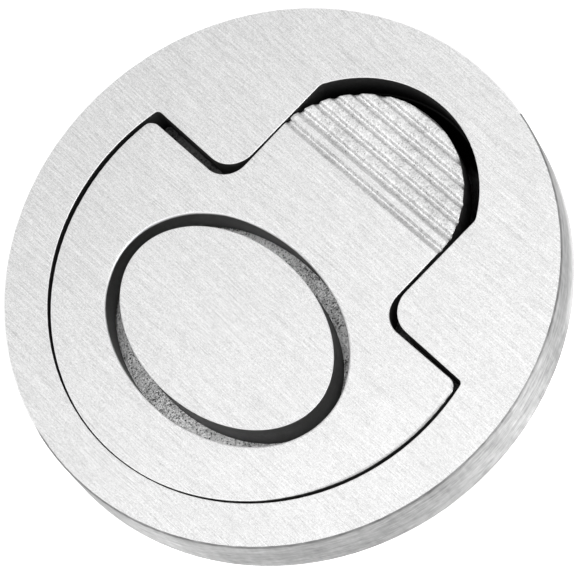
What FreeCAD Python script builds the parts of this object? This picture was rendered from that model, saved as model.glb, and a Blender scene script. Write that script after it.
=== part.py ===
import FreeCAD, Part
import Sketcher
import math
import os
from FreeCAD import Vector

# Recessed hatch pull: a round flush lift handle.
# Frame: millimetres, +Z up out of the face, origin in the centre of the
# flange's underside (the seat plane), +X towards the ribbed thumb tab.
# The hinge axis is parallel to Y.

doc = FreeCAD.newDocument("recessed_hatch_pull")

# ---------------------------------------------------------------- dimensions
sheet = doc.addObject("Spreadsheet::Sheet", "Dimensions")
TABLE = [
    # alias, value, note
    ("rim_radius", 31.75, "round face, 63.5 across"),
    ("flange_thick", 6.35, "thickness of the round flange"),
    ("rim_edge", 0.2, "dressing of the rim's two edges"),
    ("recess_depth", 4.5, "ring recess below the face"),
    ("recess_arc", 25.53, "radius of the recess round the ring"),
    ("recess_shift", 1.49, "centre of that arc, towards -X"),
    ("shoulder_x", 4.45, "straight shoulders of the recess"),
    ("neck_half", 12.57, "half width of the neck recess"),
    ("end_arc", 14.65, "radius of the recess round the thumb tab"),
    ("end_x", 11.09, "centre of that arc"),
    ("neck_corner", 3.3, "convex corner between shoulder and neck"),
    ("recess_corner", 0.6, "corner at the shoulder's outer end"),
    ("end_corner", 1.2, "corner where the neck meets the end arc"),
    ("island_x", 8.36, "centre of the fixed oval, towards -X"),
    ("island_long", 14.43, "half length of the oval along Y"),
    ("island_short", 9.75, "half length of the oval along X"),
    ("island_edge", 0.1, "dressing of the recess and oval edges"),
    ("axis_x", 11.0, "hinge axis, X"),
    ("axis_z", 2.85, "hinge axis, Z"),
    ("hub_clear", 3.8, "radius of the hollow round the handle's hub"),
    ("hub_wall", 5.6, "radius of the casting below that hollow"),
    ("scoop_angle", 82.0, "how far the thumb scoop turns below the axis"),
    ("cup_angle", 94.0, "how far the cup's outside turns"),
    ("cup_wall", 1.7, "wall of the cup"),
    ("pin_radius", 1.25, "hinge pin"),
    ("pin_inner", 18.0, "blind end of the pin's bore, towards -Y"),
    ("pin_outer", 24.4, "pin's end towards +Y"),
    ("lock_radius", 1.5, "grub screw behind the pin"),
    ("lock_start", 24.5, "start of the screw's thread, Y"),
    ("lock_length", 4.0, "length of the grub screw"),
    ("stud_x", 13.5, "half spacing of the studs along X"),
    ("stud_y", 19.0, "half spacing of the studs along Y"),
    ("stud_radius", 2.0, "M4 stud"),
    ("stem_radius", 1.5, "the stud's thinner end inside the boss"),
    ("boss_radius", 4.0, "boss round each stud"),
    ("boss_high", 4.0, "boss below the seat"),
    ("stud_top", 0.5, "blind end of the stud's hole, Z"),
    ("stud_reach", 16.5, "stud's tip below the seat"),
    ("seal_radius", 29.0, "mean radius of the seal ring"),
    ("seal_cord", 0.75, "half the seal's cord diameter"),
    ("seal_width", 1.9, "width of the seal's groove"),
    ("seal_deep", 1.0, "depth of the seal's groove"),
    ("bumper_x", 22.1, "rest bumpers, towards -X"),
    ("bumper_y", 8.0, "rest bumpers, each side of the middle"),
    ("bumper_radius", 1.6, "hole of a rest bumper"),
    ("bumper_deep", 1.0, "depth of that hole"),
    ("bumper_proud", 0.35, "bumper above the recess floor"),
    ("handle_thick", 4.1, "thickness of the handle's plate"),
    ("ring_arc", 24.93, "outer radius of the handle's ring"),
    ("ring_shift", 1.97, "centre of that arc, towards -X"),
    ("ring_shoulder", 3.55, "handle's shoulder, X"),
    ("shoulder_draft", 8.0, "undercut of the shoulder, degrees"),
    ("tab_half", 12.23, "half width of the handle's neck"),
    ("tab_arc", 12.57, "radius of the thumb tab's end"),
    ("tab_x", 11.43, "centre of that arc"),
    ("ring_corner", 1.2, "corner at the shoulder's outer end"),
    ("tab_corner", 3.0, "concave corner between shoulder and neck"),
    ("hole_x", 8.54, "centre of the finger hole, towards -X"),
    ("hole_long", 15.95, "half length of the finger hole along Y"),
    ("hole_short", 11.46, "half length of the finger hole along X"),
    ("hole_edge", 0.25, "rounding of the finger hole's edge"),
    ("handle_edge", 0.12, "rounding of the handle's outer edge"),
    ("hub_radius", 3.3, "hub round the hinge bore"),
    ("bore_radius", 1.3, "running fit on the pin"),
    ("notch_half", 2.4, "half width of the spring's notch"),
    ("notch_radius", 2.4, "roof of the spring's notch"),
    ("rib_start", 13.04, "edge of the first groove of the thumb grip, X"),
    ("rib_pitch", 1.785, "pitch of the grip's grooves"),
    ("rib_count", 6, "ribs after the grooves"),
    ("rib_crest", 0.08, "rough rib tops below the face"),
    ("rib_root", 0.3, "groove bottoms below the face"),
    ("rib_slope", 0.42, "length of a groove's gentle side"),
    ("rib_steep", 0.7, "end of a groove's steep side"),
    ("rib_round", 1.0, "end of the rounding after the steep side"),
    ("spring_mean", 1.8, "mean radius of the spring's coil"),
    ("spring_wire", 0.3, "half the wire's diameter"),
    ("spring_pitch", 0.64, "pitch of the coil"),
    ("spring_turns", 4.75, "turns between the two legs"),
    ("leg_down", 10.4, "leg against the scoop's back wall"),
    ("leg_out", 8.0, "leg under the thumb tab"),
]
for row, (alias, value, note) in enumerate(TABLE, 1):
    sheet.set("A%d" % row, note)
    sheet.set("B%d" % row, str(value))
    sheet.setAlias("B%d" % row, alias)
doc.recompute()


def size(alias):
    """One dimension, read from the sheet."""
    return float(sheet.get(alias))


def cell(text):
    """An expression whose aliases are written with a leading $."""
    return text.replace("$", "Dimensions.")


# ------------------------------------------------------------------- helpers
SUBPARTS = []


def new_body(name):
    body = doc.addObject("PartDesign::Body", name)
    body.Label = name
    SUBPARTS.append((name, body))
    return body


def origin_plane(body, role):
    for item in body.Origin.OriginFeatures:
        if item.Role == role:
            return item
    raise RuntimeError("no plane " + role)


def new_sketch(body, name, role, shift=None):
    """A sketch on one of the body's own origin planes. shift binds the
    offsets along the sketch's own axes to the sheet."""
    sk = body.newObject("Sketcher::SketchObject", name)
    sk.AttachmentSupport = [(origin_plane(body, role), "")]
    sk.MapMode = "FlatFace"
    for axis, text in (shift or {}).items():
        sk.setExpression("AttachmentOffset.Base." + axis, cell(text))
    return sk


def bind(sk, name, constraint, text):
    """Add a dimensional constraint and bind it to the sheet."""
    index = sk.addConstraint(constraint)
    sk.renameConstraint(index, name)
    sk.setExpression("Constraints." + name, cell(text))


def coincide(sk, *pairs):
    for a, ap, b, bp in pairs:
        sk.addConstraint(Sketcher.Constraint("Coincident", a, ap, b, bp))


def circle(sk, x, y, r, tag, text_x, text_y, text_r):
    """A circle whose centre and radius are bound. Each of text_x and text_y
    holds the size of the offset; its sign comes from x and y."""
    g = sk.addGeometry(Part.Circle(Vector(x, y, 0), Vector(0, 0, 1), r), False)
    bind(sk, tag + "_r", Sketcher.Constraint("Radius", g, r), text_r)
    for value, text, kind in ((x, text_x, "DistanceX"), (y, text_y, "DistanceY")):
        if text is None:
            axis = -2 if kind == "DistanceX" else -1
            sk.addConstraint(Sketcher.Constraint("PointOnObject", g, 3, axis))
        elif value >= 0:
            bind(sk, tag + "_" + kind[-1].lower(),
                 Sketcher.Constraint(kind, -1, 1, g, 3, value), text)
        else:
            bind(sk, tag + "_" + kind[-1].lower(),
                 Sketcher.Constraint(kind, g, 3, -1, 1, -value), text)
    return g


def oval(sk, x, long, short, tag, text_x, text_long, text_short):
    """An ellipse centred on the X axis with its long axis along Y."""
    g = sk.addGeometry(
        Part.Ellipse(Vector(x, long, 0), Vector(x - short, 0, 0), Vector(x, 0, 0)),
        False,
    )
    sk.exposeInternalGeometry(g)
    major, minor = g + 1, g + 2
    sk.addConstraint(Sketcher.Constraint("PointOnObject", g, 3, -1))
    bind(sk, tag + "_x", Sketcher.Constraint("DistanceX", g, 3, -1, 1, -x), text_x)
    sk.addConstraint(Sketcher.Constraint("Vertical", major))
    bind(sk, tag + "_long", Sketcher.Constraint("Distance", major, 2 * long),
         "2 * " + text_long)
    bind(sk, tag + "_short", Sketcher.Constraint("Distance", minor, 2 * short),
         "2 * " + text_short)
    return g


def dee(sk, shift, radius, chord, text_shift, text_radius, text_chord):
    """An arc round the -X side, closed by a straight shoulder line."""
    a = math.acos((chord + shift) / radius)
    centre = Vector(-shift, 0, 0)
    arc = sk.addGeometry(
        Part.ArcOfCircle(Part.Circle(centre, Vector(0, 0, 1), radius),
                         a, 2 * math.pi - a), False)
    y = radius * math.sin(a)
    line = sk.addGeometry(
        Part.LineSegment(Vector(chord, -y, 0), Vector(chord, y, 0)), False)
    coincide(sk, (arc, 2, line, 1), (line, 2, arc, 1))
    sk.addConstraint(Sketcher.Constraint("Vertical", line))
    sk.addConstraint(Sketcher.Constraint("PointOnObject", arc, 3, -1))
    bind(sk, "shift", Sketcher.Constraint("DistanceX", arc, 3, -1, 1, shift), text_shift)
    bind(sk, "radius", Sketcher.Constraint("Radius", arc, radius), text_radius)
    bind(sk, "chord", Sketcher.Constraint("DistanceX", -1, 1, line, 1, chord), text_chord)


def tongue(sk, start, half, centre_x, radius, text_start, text_half, text_x, text_radius):
    """Two parallel sides along X closed by an arc at the +X end."""
    b = math.asin(half / radius)
    x1 = centre_x + radius * math.cos(b)
    low = sk.addGeometry(
        Part.LineSegment(Vector(start, -half, 0), Vector(x1, -half, 0)), False)
    arc = sk.addGeometry(
        Part.ArcOfCircle(Part.Circle(Vector(centre_x, 0, 0), Vector(0, 0, 1), radius),
                         -b, b), False)
    high = sk.addGeometry(
        Part.LineSegment(Vector(x1, half, 0), Vector(start, half, 0)), False)
    back = sk.addGeometry(
        Part.LineSegment(Vector(start, half, 0), Vector(start, -half, 0)), False)
    coincide(sk, (low, 2, arc, 1), (arc, 2, high, 1), (high, 2, back, 1), (back, 2, low, 1))
    sk.addConstraint(Sketcher.Constraint("Horizontal", low))
    sk.addConstraint(Sketcher.Constraint("Horizontal", high))
    sk.addConstraint(Sketcher.Constraint("Vertical", back))
    sk.addConstraint(Sketcher.Constraint("PointOnObject", arc, 3, -1))
    bind(sk, "radius", Sketcher.Constraint("Radius", arc, radius), text_radius)
    if centre_x >= 0:
        bind(sk, "centre", Sketcher.Constraint("DistanceX", -1, 1, arc, 3, centre_x), text_x)
    else:
        bind(sk, "centre", Sketcher.Constraint("DistanceX", arc, 3, -1, 1, -centre_x), text_x)
    bind(sk, "half_low", Sketcher.Constraint("DistanceY", low, 1, -1, 1, half), text_half)
    bind(sk, "half_high", Sketcher.Constraint("DistanceY", -1, 1, high, 1, half), text_half)
    if text_start is None:
        sk.addConstraint(Sketcher.Constraint("PointOnObject", back, 1, -2))
    else:
        bind(sk, "start", Sketcher.Constraint("DistanceX", -1, 1, back, 1, start), text_start)


def rectangle(sk, x0, x1, y0, y1, texts):
    """A rectangle. texts binds left, right, low and high to the sheet."""
    p = [Vector(x0, y0, 0), Vector(x1, y0, 0), Vector(x1, y1, 0), Vector(x0, y1, 0)]
    g = [sk.addGeometry(Part.LineSegment(p[i], p[(i + 1) % 4]), False) for i in range(4)]
    coincide(sk, *[(g[i], 2, g[(i + 1) % 4], 1) for i in range(4)])
    for i in (0, 2):
        sk.addConstraint(Sketcher.Constraint("Horizontal", g[i]))
        sk.addConstraint(Sketcher.Constraint("Vertical", g[i + 1]))
    for name, value, kind, end in (
        ("left", x0, "DistanceX", (g[0], 1)), ("right", x1, "DistanceX", (g[0], 2)),
        ("low", y0, "DistanceY", (g[0], 1)), ("high", y1, "DistanceY", (g[2], 1)),
    ):
        if value >= 0:
            c = Sketcher.Constraint(kind, -1, 1, end[0], end[1], value)
            bind(sk, name, c, texts[name])
        else:
            c = Sketcher.Constraint(kind, end[0], end[1], -1, 1, -value)
            bind(sk, name, c, "-(" + texts[name] + ")")


def volume(body):
    return body.Shape.Volume


def prism(body, kind, name, sk, text, symmetric=False, reverse=False, taper=None):
    """A Pad or Pocket whose length is bound. The volume must move the right way."""
    before = body.Shape.Volume if body.Tip else 0.0
    f = body.newObject("PartDesign::" + kind, name)
    f.Profile = sk
    f.Type = "Length"
    f.SideType = "Symmetric" if symmetric else "One side"
    f.Reversed = reverse
    f.setExpression("Length", cell(text))
    doc.recompute()
    after = body.Shape.Volume
    if kind == "Pad" and after <= before + 1e-4:
        raise RuntimeError("%s adds nothing" % name)
    if kind == "Pocket" and after >= before - 1e-4:
        raise RuntimeError("%s cuts nothing" % name)
    return f


def turned(body, kind, name, sk, text, reverse=False):
    """A Revolution or Groove about the sketch's vertical axis."""
    before = body.Shape.Volume if body.Tip else 0.0
    f = body.newObject("PartDesign::" + kind, name)
    f.Profile = sk
    f.ReferenceAxis = (sk, ["V_Axis"])
    f.Type = "Angle"
    f.Reversed = reverse
    f.setExpression("Angle", cell(text))
    doc.recompute()
    after = body.Shape.Volume
    if kind == "Revolution" and after <= before + 1e-4:
        raise RuntimeError("%s adds nothing" % name)
    if kind == "Groove" and after >= before - 1e-4:
        raise RuntimeError("%s cuts nothing" % name)
    return f


def edges_where(shape, test):
    return ["Edge%d" % (i + 1) for i, e in enumerate(shape.Edges) if test(e)]


def upright(e, x, y, tol=0.05):
    """A straight upright edge through x, y."""
    b = e.BoundBox
    return (b.ZLength > 0.5 and b.XLength < 0.7 and b.YLength < 0.7
            and min(abs(b.XMin - x), abs(b.XMax - x)) < tol
            and min(abs(b.YMin - y), abs(b.YMax - y)) < tol)


def flat_at(e, z, tol=1e-3):
    b = e.BoundBox
    return abs(b.ZMin - z) < tol and abs(b.ZMax - z) < tol


def dress(body, kind, name, names, text):
    """Round (Fillet) or bevel (Chamfer) edges of the current tip."""
    if not names:
        raise RuntimeError("%s finds no edges" % name)
    base = body.Tip
    f = body.newObject("PartDesign::" + kind, name)
    f.Base = (base, names)
    f.setExpression("Radius" if kind == "Fillet" else "Size", cell(text))
    doc.recompute()
    if "Invalid" in f.State or "Error" in f.State or f.Shape.isNull():
        raise RuntimeError("%s failed" % name)
    return f


face_z = size("flange_thick")
ax, az = size("axis_x"), size("axis_z")

# ---------------------------------------------------------------------- body
# One casting: round flange, ring recess with the fixed oval island, thumb
# scoop turned about the hinge axis, its cup below the flange, stud bosses.
body = new_body("body")

sk = new_sketch(body, "rim_outline", "XY_Plane")
circle(sk, 0, 0, size("rim_radius"), "rim", None, None, "$rim_radius")
prism(body, "Pad", "flange", sk, "$flange_thick")

# cup: the thumb recess outline, one wall thickness out, turned about the axis
sk = new_sketch(body, "cup_outline", "XY_Plane", {"x": "$axis_x", "z": "$axis_z"})
tongue(sk, 0.0, size("neck_half") + size("cup_wall"), size("end_x") - ax,
       size("end_arc") + size("cup_wall"), None, "$neck_half + $cup_wall",
       "$axis_x - $end_x", "$end_arc + $cup_wall")
cup = turned(body, "Revolution", "cup", sk, "$cup_angle")
if body.Shape.BoundBox.ZMin > -5:
    cup.Reversed = True
    doc.recompute()

# lower part of a cylinder round the axis, its flat side inside the flange
sk = new_sketch(body, "hub_cover_outline", "XZ_Plane")
chord = 1.0
lean = math.asin((az - chord) / size("hub_wall"))
reach = size("hub_wall") * math.cos(lean)
arc = sk.addGeometry(
    Part.ArcOfCircle(Part.Circle(Vector(ax, az, 0), Vector(0, 0, 1), size("hub_wall")),
                     math.pi + lean, 2 * math.pi - lean), False)
flat = sk.addGeometry(
    Part.LineSegment(Vector(ax + reach, chord, 0), Vector(ax - reach, chord, 0)), False)
coincide(sk, (arc, 2, flat, 1), (flat, 2, arc, 1))
sk.addConstraint(Sketcher.Constraint("Horizontal", flat))
bind(sk, "radius", Sketcher.Constraint("Radius", arc, size("hub_wall")), "$hub_wall")
bind(sk, "axis_x", Sketcher.Constraint("DistanceX", -1, 1, arc, 3, ax), "$axis_x")
bind(sk, "axis_z", Sketcher.Constraint("DistanceY", -1, 1, arc, 3, az), "$axis_z")
bind(sk, "chord", Sketcher.Constraint("DistanceY", -1, 1, flat, 1, chord), "1.0")
prism(body, "Pad", "hub_cover", sk, "2 * ($neck_half + $cup_wall)", symmetric=True)

# ring recess, leaving the oval island standing
sk = new_sketch(body, "recess_outline", "XY_Plane", {"z": "$flange_thick"})
dee(sk, size("recess_shift"), size("recess_arc"), size("shoulder_x"),
    "$recess_shift", "$recess_arc", "$shoulder_x")
oval(sk, -size("island_x"), size("island_long"), size("island_short"), "island",
     "$island_x", "$island_long", "$island_short")
prism(body, "Pocket", "ring_recess", sk, "$recess_depth")

sk = new_sketch(body, "neck_outline", "XY_Plane", {"z": "$flange_thick"})
tongue(sk, 3.0, size("neck_half"), size("end_x"), size("end_arc"),
       "3.0", "$neck_half", "$end_x", "$end_arc")
prism(body, "Pocket", "neck_recess", sk, "$recess_depth")

nh, sx = size("neck_half"), size("shoulder_x")
dress(body, "Fillet", "neck_corners",
      edges_where(body.Shape, lambda e: any(upright(e, sx, s * nh) for s in (-1, 1))),
      "$neck_corner")
ey = math.sqrt(size("recess_arc") ** 2 - (sx + size("recess_shift")) ** 2)
dress(body, "Fillet", "recess_corners",
      edges_where(body.Shape, lambda e: any(upright(e, sx, s * ey) for s in (-1, 1))),
      "$recess_corner")
tx = size("end_x") + math.sqrt(size("end_arc") ** 2 - nh ** 2)
dress(body, "Fillet", "end_corners",
      edges_where(body.Shape, lambda e: any(upright(e, tx, s * nh) for s in (-1, 1))),
      "$end_corner")

# thumb scoop: the same outline turned about the axis, and the hub's hollow
sk = new_sketch(body, "scoop_outline", "XY_Plane", {"x": "$axis_x", "z": "$axis_z"})
tongue(sk, 0.0, nh, size("end_x") - ax, size("end_arc"), None, "$neck_half",
       "$axis_x - $end_x", "$end_arc")
scoop = turned(body, "Groove", "thumb_scoop", sk, "$scoop_angle",
               reverse=cup.Reversed)

sk = new_sketch(body, "hub_hollow_outline", "XZ_Plane")
circle(sk, ax, az, size("hub_clear"), "hollow", "$axis_x", "$axis_z", "$hub_clear")
prism(body, "Pocket", "hub_hollow", sk, "2 * $neck_half", symmetric=True)

# pin bore from the +Y side of the rim, its mouth threaded for a grub screw
sk = new_sketch(body, "pin_bore_outline", "XZ_Plane", {"z": "$pin_inner"})
circle(sk, ax, az, size("pin_radius"), "bore", "$axis_x", "$axis_z", "$pin_radius")
prism(body, "Pocket", "pin_bore", sk, "$pin_inner + $rim_radius")
sk = new_sketch(body, "lock_bore_outline", "XZ_Plane", {"z": "-$lock_start"})
circle(sk, ax, az, size("lock_radius"), "lock", "$axis_x", "$axis_z", "$lock_radius")
prism(body, "Pocket", "lock_bore", sk, "$rim_radius - $lock_start")

# stud bosses and their blind holes
sk = new_sketch(body, "boss_outline", "XY_Plane")
for i, (u, v) in enumerate(((1, 1), (1, -1), (-1, 1), (-1, -1))):
    circle(sk, u * size("stud_x"), v * size("stud_y"), size("boss_radius"),
           "boss%s" % "abcd"[i], "$stud_x", "$stud_y", "$boss_radius")
prism(body, "Pad", "stud_bosses", sk, "$boss_high", reverse=True)
sk = new_sketch(body, "stud_hole_outline", "XY_Plane", {"z": "-$boss_high"})
for i, (u, v) in enumerate(((1, 1), (1, -1), (-1, 1), (-1, -1))):
    circle(sk, u * size("stud_x"), v * size("stud_y"), size("stem_radius"),
           "hole%s" % "abcd"[i], "$stud_x", "$stud_y", "$stem_radius")
prism(body, "Pocket", "stud_holes", sk, "$boss_high + $stud_top", reverse=True)

# seal groove in the underside
sk = new_sketch(body, "seal_groove_outline", "XY_Plane")
circle(sk, 0, 0, size("seal_radius") + size("seal_width") / 2, "outer", None, None,
       "$seal_radius + $seal_width / 2")
circle(sk, 0, 0, size("seal_radius") - size("seal_width") / 2, "inner", None, None,
       "$seal_radius - $seal_width / 2")
prism(body, "Pocket", "seal_groove", sk, "$seal_deep", reverse=True)

# two holes in the recess floor for the rest bumpers
sk = new_sketch(body, "bumper_hole_outline", "XY_Plane",
                {"z": "$flange_thick - $recess_depth"})
for i, v in enumerate((1, -1)):
    circle(sk, -size("bumper_x"), v * size("bumper_y"), size("bumper_radius"),
           "pad%s" % "ab"[i], "$bumper_x", "$bumper_y", "$bumper_radius")
prism(body, "Pocket", "bumper_holes", sk, "$bumper_deep")

# edges: island and recess outline at the face, then the rim
rr = size("rim_radius")
dress(body, "Fillet", "face_edges",
      edges_where(body.Shape, lambda e: flat_at(e, face_z)
                  and max(abs(e.BoundBox.XMin), abs(e.BoundBox.XMax)) < rr - 0.5),
      "$island_edge")
dress(body, "Fillet", "rim_edges",
      edges_where(body.Shape, lambda e: (flat_at(e, face_z) or flat_at(e, 0.0))
                  and e.BoundBox.XLength > 2 * rr - 0.5),
      "$rim_edge")

# -------------------------------------------------------------------- handle
# One casting: oval ring, neck and ribbed thumb tab, hub below the neck.
handle = new_body("handle")
low = "$flange_thick - $handle_thick"

sk = new_sketch(handle, "ring_outline", "XY_Plane", {"z": low})
dee(sk, size("ring_shift"), size("ring_arc"), size("ring_shoulder"),
    "$ring_shift", "$ring_arc", "$ring_shoulder")
prism(handle, "Pad", "ring", sk, "$handle_thick")

# undercut of the two shoulders, so that they swing clear of the body
hs = size("ring_shoulder")
shoulder = [("Face%d" % (i + 1)) for i, f in enumerate(handle.Shape.Faces)
            if isinstance(f.Surface, Part.Plane)
            and abs(f.BoundBox.XMin - hs) < 1e-3 and abs(f.BoundBox.XMax - hs) < 1e-3]
top = [("Face%d" % (i + 1)) for i, f in enumerate(handle.Shape.Faces)
       if abs(f.BoundBox.ZMin - face_z) < 1e-3]
before = handle.Shape.Volume
base = handle.Tip
draft = handle.newObject("PartDesign::Draft", "shoulder_undercut")
draft.Base = (base, shoulder)
draft.NeutralPlane = (base, top)
draft.setExpression("Angle", cell("$shoulder_draft"))
draft.Reversed = False
doc.recompute()
if handle.Shape.Volume > before:
    draft.Reversed = True
    doc.recompute()
if not handle.Shape.Volume < before:
    raise RuntimeError("the shoulder undercut cuts nothing")

sk = new_sketch(handle, "tab_outline", "XY_Plane", {"z": low})
tongue(sk, 2.6, size("tab_half"), size("tab_x"), size("tab_arc"),
       "2.6", "$tab_half", "$tab_x", "$tab_arc")
prism(handle, "Pad", "neck_and_tab", sk, "$handle_thick")

th = size("tab_half")
dress(handle, "Fillet", "neck_roots",
      edges_where(handle.Shape, lambda e: any(
          upright(e, hs, s * th, 0.02) for s in (-1, 1))),
      "$tab_corner")
hy = math.sqrt(size("ring_arc") ** 2 - (hs + size("ring_shift")) ** 2)
dress(handle, "Fillet", "shoulder_corners",
      edges_where(handle.Shape, lambda e: any(
          upright(e, hs, s * hy, 0.02) for s in (-1, 1))),
      "$ring_corner")

# the oval finger hole
sk = new_sketch(handle, "finger_hole_outline", "XY_Plane", {"z": "$flange_thick"})
oval(sk, -size("hole_x"), size("hole_long"), size("hole_short"), "hole",
     "$hole_x", "$hole_long", "$hole_short")
prism(handle, "Pocket", "finger_hole", sk, "$handle_thick")

# hub, hinge bore and the notch for the return spring
sk = new_sketch(handle, "hub_outline", "XZ_Plane")
circle(sk, ax, az, size("hub_radius"), "hub", "$axis_x", "$axis_z", "$hub_radius")
prism(handle, "Pad", "hub", sk, "2 * $tab_half", symmetric=True)
sk = new_sketch(handle, "hinge_bore_outline", "XZ_Plane")
circle(sk, ax, az, size("bore_radius"), "bore", "$axis_x", "$axis_z", "$bore_radius")
prism(handle, "Pocket", "hinge_bore", sk, "2 * $tab_half + 1", symmetric=True)
sk = new_sketch(handle, "notch_roof_outline", "XZ_Plane")
circle(sk, ax, az, size("notch_radius"), "roof", "$axis_x", "$axis_z", "$notch_radius")
prism(handle, "Pocket", "notch_roof", sk, "2 * $notch_half", symmetric=True)
sk = new_sketch(handle, "notch_outline", "XZ_Plane")
rectangle(sk, ax - size("hub_radius") - 0.5, ax + size("hub_radius") + 0.5,
          az - size("hub_radius") - 0.5, face_z - size("handle_thick"),
          {"left": "$axis_x - $hub_radius - 0.5", "right": "$axis_x + $hub_radius + 0.5",
           "low": "$axis_z - $hub_radius - 0.5", "high": low})
prism(handle, "Pocket", "spring_notch", sk, "2 * $notch_half", symmetric=True)

# small pad under the tab that the spring's leg bears on
leg_z = az - size("spring_mean") + size("spring_wire")
sk = new_sketch(handle, "leg_pad_outline", "XY_Plane", {"z": low})
rectangle(sk, 16.6, 18.6, -2.4, 2.4,
          {"left": "16.6", "right": "18.6", "low": "-2.4", "high": "2.4"})
prism(handle, "Pad", "leg_pad", sk,
      "$flange_thick - $handle_thick - $axis_z + $spring_mean - $spring_wire - 0.02",
      reverse=True)

# thumb grip: grooves across the tab, each with a gentle side towards the hub
# and a steep side towards the tab's end. The first rib is brushed with the
# face, the others are lower and left as cast.
x0, pitch = size("rib_start"), size("rib_pitch")
crest, root = face_z - size("rib_crest"), face_z - size("rib_root")
gentle, steep, rounded = size("rib_slope"), size("rib_steep"), size("rib_round")
top_z = face_z + 1.0


def arc3(sk, a, m, b):
    return sk.addGeometry(Part.Arc(Vector(a[0], a[1], 0), Vector(m[0], m[1], 0),
                                   Vector(b[0], b[1], 0)), False)


def line2(sk, a, b):
    return sk.addGeometry(Part.LineSegment(Vector(a[0], a[1], 0), Vector(b[0], b[1], 0)), False)


def chain(sk, ids):
    """Close a loop of elements, each drawn end to start."""
    n = len(ids)
    for i in range(n):
        a, b = ids[i], ids[(i + 1) % n]
        best = None
        for pa in (1, 2):
            for pb in (1, 2):
                d = sk.getPoint(a, pa).distanceToPoint(sk.getPoint(b, pb))
                if best is None or d < best[0]:
                    best = (d, pa, pb)
        sk.addConstraint(Sketcher.Constraint("Coincident", a, best[1], b, best[2]))


def groove(sk, x, lip, end, brim):
    """Outline of one groove that starts at x, lip deep, and ends at brim."""
    low_a, low_b = (x + gentle, root), (x + gentle + 0.14, root)
    wall = (x + steep, face_z - 0.17)
    return [
        line2(sk, (x, lip), low_a),
        arc3(sk, low_a, (x + gentle + 0.07, root - 0.03), low_b),
        line2(sk, low_b, wall),
        arc3(sk, wall, (x + (steep + rounded) / 2 - 0.03, (wall[1] + brim) / 2 + 0.025),
             (x + rounded, brim)),
    ]


# first groove, out of the brushed face and back up to it
sk = new_sketch(handle, "first_groove_outline", "XZ_Plane")
ids = groove(sk, x0, face_z, rounded, face_z)
ids += [line2(sk, (x0 + rounded, face_z), (x0 + rounded, top_z)),
        line2(sk, (x0 + rounded, top_z), (x0, top_z)),
        line2(sk, (x0, top_z), (x0, face_z))]
chain(sk, ids)
for g in (4, 6):
    sk.addConstraint(Sketcher.Constraint("Vertical", ids[g]))
sk.addConstraint(Sketcher.Constraint("Horizontal", ids[5]))
bind(sk, "start", Sketcher.Constraint("DistanceX", -1, 1, ids[6], 2, x0), "$rib_start")
bind(sk, "root", Sketcher.Constraint("DistanceY", -1, 1, ids[0], 2, root),
     "$flange_thick - $rib_root")
bind(sk, "gentle", Sketcher.Constraint("DistanceX", ids[0], 1, ids[0], 2, gentle),
     "$rib_slope")
prism(handle, "Pocket", "first_groove", sk, "3 * $tab_half", symmetric=True)

# one more groove with the rough rib after it, repeated to the tab's end
sk = new_sketch(handle, "rib_outline", "XZ_Plane")
x1, x2 = x0 + pitch, x0 + 2 * pitch
ids = groove(sk, x1, crest, rounded, crest)
ids += [arc3(sk, (x1 + rounded, crest), ((x1 + rounded + x2) / 2, crest + 0.02), (x2, crest)),
        line2(sk, (x2, crest), (x2, top_z)),
        line2(sk, (x2, top_z), (x1, top_z)),
        line2(sk, (x1, top_z), (x1, crest))]
chain(sk, ids)
for g in (5, 7):
    sk.addConstraint(Sketcher.Constraint("Vertical", ids[g]))
sk.addConstraint(Sketcher.Constraint("Horizontal", ids[6]))
bind(sk, "start", Sketcher.Constraint("DistanceX", -1, 1, ids[7], 2, x1),
     "$rib_start + $rib_pitch")
bind(sk, "root", Sketcher.Constraint("DistanceY", -1, 1, ids[0], 2, root),
     "$flange_thick - $rib_root")
bind(sk, "crest", Sketcher.Constraint("DistanceY", -1, 1, ids[7], 2, crest),
     "$flange_thick - $rib_crest")
bind(sk, "gentle", Sketcher.Constraint("DistanceX", ids[0], 1, ids[0], 2, gentle),
     "$rib_slope")
bind(sk, "pitch", Sketcher.Constraint("DistanceX", ids[6], 2, ids[6], 1, pitch),
     "$rib_pitch")
rib = prism(handle, "Pocket", "grip_rib", sk, "3 * $tab_half", symmetric=True)

before = handle.Shape.Volume
ribs = handle.newObject("PartDesign::LinearPattern", "grip_ribs")
ribs.Originals = [rib]
ribs.Direction = (sk, ["H_Axis"])
ribs.setExpression("Length", cell("$rib_pitch * ($rib_count - 1)"))
ribs.Occurrences = int(size("rib_count"))
ribs.setExpression("Occurrences", cell("$rib_count"))
handle.Tip = ribs
doc.recompute()
if not handle.Shape.Volume < before - 1.0:
    ribs.Reversed = True
    doc.recompute()
if not handle.Shape.Volume < before - 1.0:
    raise RuntimeError("the rib pattern cuts nothing")

# edges of the finger hole and of the handle's outline
hx = -size("hole_x")


def on_hole(e, z):
    b = e.BoundBox
    return (flat_at(e, z) and b.XMin > hx - size("hole_short") - 0.1
            and b.XMax < hx + size("hole_short") + 0.1
            and b.YMax < size("hole_long") + 0.1 and b.YMin > -size("hole_long") - 0.1)


dress(handle, "Fillet", "hole_edges",
      edges_where(handle.Shape, lambda e: on_hole(e, face_z)), "$hole_edge")
dress(handle, "Fillet", "outline_edges",
      edges_where(handle.Shape, lambda e: flat_at(e, face_z)
                  and e.BoundBox.XMax < x0 + 0.01
                  and e.BoundBox.XMin < x0 - 0.01
                  and not (e.BoundBox.XMin > hx - size("hole_short") - 0.6
                           and e.BoundBox.XMax < hx + size("hole_short") + 0.6
                           and abs(e.BoundBox.YMin) < size("hole_long") + 0.6
                           and abs(e.BoundBox.YMax) < size("hole_long") + 0.6)),
      "$handle_edge")

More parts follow.
